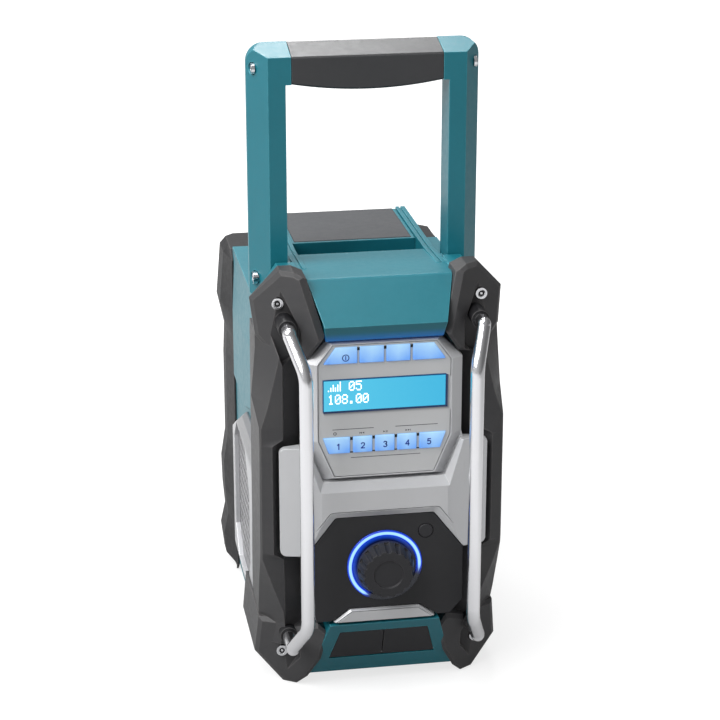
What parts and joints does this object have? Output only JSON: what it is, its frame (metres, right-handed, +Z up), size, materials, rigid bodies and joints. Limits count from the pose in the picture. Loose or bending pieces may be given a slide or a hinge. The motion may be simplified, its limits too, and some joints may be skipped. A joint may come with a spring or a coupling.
{
  "type": "jobsite radio",
  "caption": "Rugged upright radio with fold-down handle, guard tubes, rubber bumpers, lit display, tuning knob, side speakers and a hinged battery door.",
  "frame": {"origin": "centre of the footprint, on the floor", "axes": "+Z up along the height, -Y out of the display side, +X to the right when facing the display"},
  "size_m": [0.168, 0.281, 0.4275],
  "materials": {
    "teal_plastic": "fine-textured, satin",
    "dark_rubber": "matte, moulded",
    "silver_plastic": "satin metallic paint",
    "grille_sheet": "satin",
    "chrome_tube": "polished",
    "black_plastic": "satin",
    "lit_key": "translucent, lit from behind",
    "lcd_window": "clear over a lit display",
    "ring_lens": "translucent, lit from behind",
    "steel": "plated",
    "circuit_board": "soldered",
    "speaker_metal": "satin",
    "cone_paper": "pressed fibre"
  },
  "bodies": {
    "chassis": {"front_housing": "teal_plastic", "rear_housing": "teal_plastic", "top_cover": "teal_plastic", "top_mat": "dark_rubber", "front_bezel": "silver_plastic", "display_frame": "silver_plastic", "display_window": "lcd_window", "display_module": "black_plastic", "control_board": "circuit_board", "main_board": "circuit_board", "knob_panel": "black_plastic", "light_ring": "ring_lens", "tuning_encoder": "steel", "hinge_pins": "steel", "dc_socket": "black_plastic", "aux_socket": "black_plastic", "front_bumper_left": "dark_rubber", "front_bumper_right": "dark_rubber", "guard_tube_left": "chrome_tube", "guard_tube_right": "chrome_tube", "bumper_screws": "steel", "rear_bumper_left": "dark_rubber", "rear_bumper_right": "dark_rubber", "rear_bumper_bar": "dark_rubber", "speaker_frame_left": "silver_plastic", "speaker_frame_right": "silver_plastic", "speaker_grille_left": "grille_sheet", "speaker_grille_right": "grille_sheet", "speaker_basket_left": "speaker_metal", "speaker_basket_right": "speaker_metal", "speaker_cone_left": "cone_paper", "speaker_cone_right": "cone_paper", "battery_door_keeper": "black_plastic", "battery_terminal_block": "black_plastic", "backup_battery_cover": "black_plastic", "handle_pivots": "steel", "feet": "dark_rubber"},
    "handle": {"handle_arm_left": "teal_plastic", "handle_arm_right": "teal_plastic", "handle_crossbar": "black_plastic", "handle_grip": "dark_rubber", "antenna_rod": "steel", "handle_screws": "steel"},
    "knob": {"tuning_knob": "black_plastic", "knob_shaft": "steel"},
    "plunger": {"encoder_plunger": "steel"},
    "pairing_key": {"pairing_button": "black_plastic"},
    "flap_left": {"port_flap_left": "black_plastic"},
    "flap_right": {"port_flap_right": "black_plastic"},
    "door": {"battery_door": "teal_plastic"},
    "catch": {"battery_door_latch": "black_plastic"},
    "power_key": {"power_button": "lit_key"},
    "mode_key": {"mode_button": "lit_key"},
    "menu_key": {"menu_button": "lit_key"},
    "info_key": {"info_button": "lit_key"},
    "preset_key_1": {"preset_button_1": "lit_key"},
    "preset_key_2": {"preset_button_2": "lit_key"},
    "preset_key_3": {"preset_button_3": "lit_key"},
    "preset_key_4": {"preset_button_4": "lit_key"},
    "preset_key_5": {"preset_button_5": "lit_key"}
  },
  "joints": [
    {"name": "handle_fold", "type": "hinge", "parent": "chassis", "child": "handle", "pos_m": [0, -0.032, 0.272], "axis": [-1, 0, 0], "range_deg": [0, 90]},
    {"name": "knob_press", "type": "slide", "parent": "chassis", "child": "plunger", "axis": [0, 1, 0], "range_m": [0, 0.0008], "stiffness_N_per_m": 3000},
    {"name": "knob_turn", "type": "hinge", "parent": "plunger", "child": "knob", "pos_m": [0, -0.114, 0.093], "axis": [0, 1, 0], "continuous": true},
    {"name": "pairing_press", "type": "slide", "parent": "chassis", "child": "pairing_key", "axis": [0, 1, 0], "range_m": [0, 0.001], "stiffness_N_per_m": 1500},
    {"name": "power_press", "type": "slide", "parent": "chassis", "child": "power_key", "axis": [0, 1, 0], "range_m": [0, 0.001], "stiffness_N_per_m": 1500},
    {"name": "mode_press", "type": "slide", "parent": "chassis", "child": "mode_key", "axis": [0, 1, 0], "range_m": [0, 0.001], "stiffness_N_per_m": 1500},
    {"name": "menu_press", "type": "slide", "parent": "chassis", "child": "menu_key", "axis": [0, 1, 0], "range_m": [0, 0.001], "stiffness_N_per_m": 1500},
    {"name": "info_press", "type": "slide", "parent": "chassis", "child": "info_key", "axis": [0, 1, 0], "range_m": [0, 0.001], "stiffness_N_per_m": 1500},
    {"name": "preset_1_press", "type": "slide", "parent": "chassis", "child": "preset_key_1", "axis": [0, 1, 0], "range_m": [0, 0.001], "stiffness_N_per_m": 1500},
    {"name": "preset_2_press", "type": "slide", "parent": "chassis", "child": "preset_key_2", "axis": [0, 1, 0], "range_m": [0, 0.001], "stiffness_N_per_m": 1500},
    {"name": "preset_3_press", "type": "slide", "parent": "chassis", "child": "preset_key_3", "axis": [0, 1, 0], "range_m": [0, 0.001], "stiffness_N_per_m": 1500},
    {"name": "preset_4_press", "type": "slide", "parent": "chassis", "child": "preset_key_4", "axis": [0, 1, 0], "range_m": [0, 0.001], "stiffness_N_per_m": 1500},
    {"name": "preset_5_press", "type": "slide", "parent": "chassis", "child": "preset_key_5", "axis": [0, 1, 0], "range_m": [0, 0.001], "stiffness_N_per_m": 1500},
    {"name": "flap_left_open", "type": "hinge", "parent": "chassis", "child": "flap_left", "pos_m": [-0.018, -0.09993, 0.02346], "axis": [1, 0, 0], "range_deg": [0, 100]},
    {"name": "flap_right_open", "type": "hinge", "parent": "chassis", "child": "flap_right", "pos_m": [0.018, -0.09993, 0.02346], "axis": [1, 0, 0], "range_deg": [0, 100]},
    {"name": "door_open", "type": "hinge", "parent": "chassis", "child": "door", "pos_m": [0, 0.127, 0.064], "axis": [-1, 0, 0], "range_deg": [0, 105]},
    {"name": "catch_slide", "type": "slide", "parent": "door", "child": "catch", "axis": [0, 0, 1], "range_m": [0, 0.004]}
  ]
}
